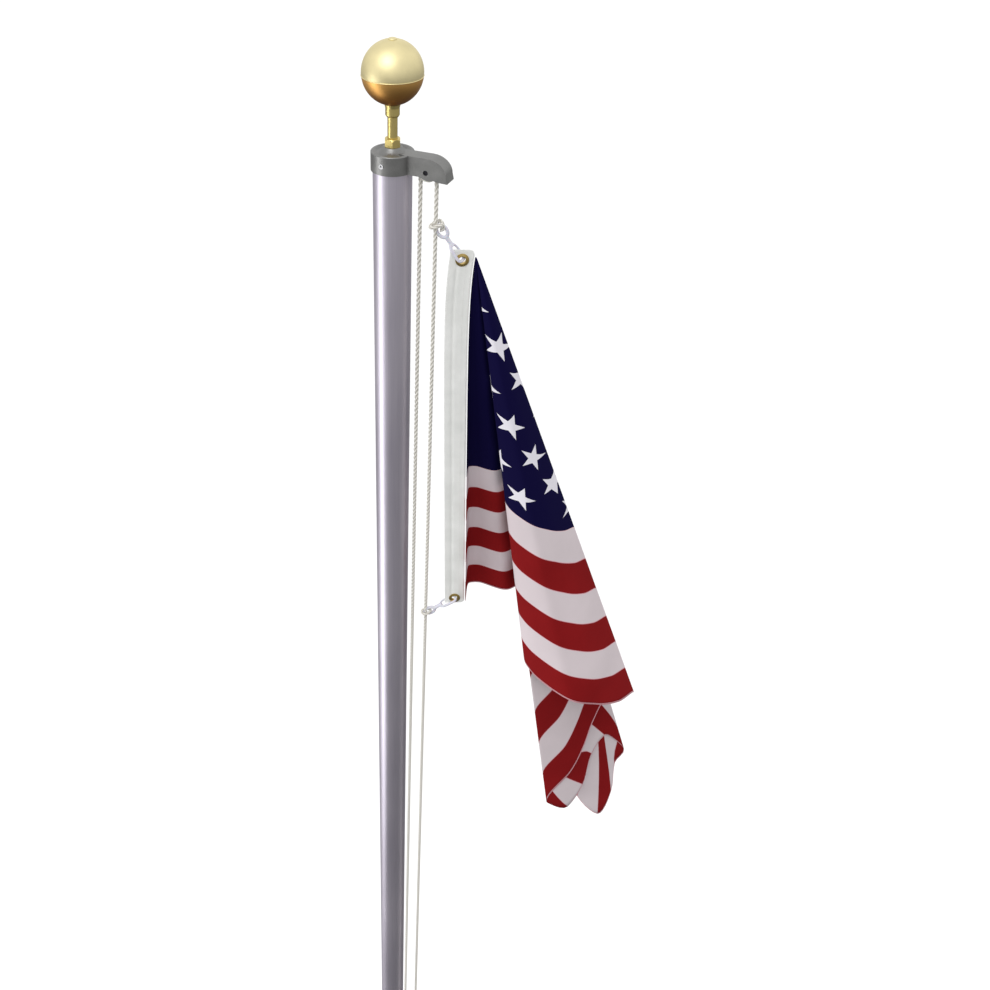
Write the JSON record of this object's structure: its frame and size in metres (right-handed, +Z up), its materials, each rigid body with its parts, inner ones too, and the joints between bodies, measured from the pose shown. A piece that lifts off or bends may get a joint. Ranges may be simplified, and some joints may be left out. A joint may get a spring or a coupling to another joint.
{
  "type": "flagpole",
  "caption": "Ground-set aluminium flagpole with a gold ball, a stationary truck, a rope halyard on a cleat and a hung flag.",
  "frame": {"origin": "centre of the pole's foot at ground level", "axes": "+Z up the pole, +X along the truck's arm towards the flag"},
  "size_m": [0.4705, 0.3201, 4.7096],
  "materials": {
    "satin_aluminium": "satin, drawn tube",
    "spun_aluminium": "satin, spun",
    "cast_aluminium": "cast, light blasted",
    "cast_aluminium_bright": "cast, tumbled",
    "screw_steel": "zinc plated",
    "sheave_nylon": "moulded nylon",
    "gold_rod": "bright, turned",
    "gold_anodised": "satin, gold anodised",
    "rope": "three-strand laid rope",
    "snap_nylon": "moulded nylon",
    "header_canvas": "plain canvas",
    "grommet_brass": "rolled brass",
    "flag_cloth": "printed woven polyester, red, white and blue"
  },
  "bodies": {
    "pole": {"pole_lower_section": "satin_aluminium", "pole_upper_section": "satin_aluminium", "flash_collar": "spun_aluminium", "truck_casting": "cast_aluminium", "truck_set_screw_front": "screw_steel", "truck_set_screw_rear": "screw_steel", "sheave_axle": "screw_steel", "spindle": "gold_rod", "lock_nut": "gold_rod", "ball_ferrule": "gold_rod", "ball_lower_half": "gold_anodised", "ball_upper_half": "gold_anodised", "ball_plug": "gold_anodised", "halyard": "rope", "cleat": "cast_aluminium_bright", "cleat_screw_upper": "screw_steel", "cleat_screw_lower": "screw_steel"},
    "sheave": {"sheave": "sheave_nylon"},
    "flag": {"upper_hitch": "rope", "upper_snap": "snap_nylon", "upper_snap_gate": "snap_nylon", "lower_hitch": "rope", "lower_snap": "snap_nylon", "lower_snap_gate": "snap_nylon", "flag_header": "header_canvas", "upper_grommet": "grommet_brass", "lower_grommet": "grommet_brass", "flag_cloth": "flag_cloth"}
  },
  "joints": [
    {"name": "flag_hoist", "type": "slide", "parent": "pole", "child": "flag", "axis": [0.0023, -0.0042, 1], "range_m": [-2.28, 0.03]},
    {"name": "sheave_spin", "type": "hinge", "parent": "pole", "child": "sheave", "pos_m": [0.05, 0, 4.558], "axis": [0, -1, 0], "continuous": true}
  ],
  "couplings": [
    {"joint": "sheave_spin", "follows": "flag_hoist", "rad_per_m": 90.909}
  ]
}
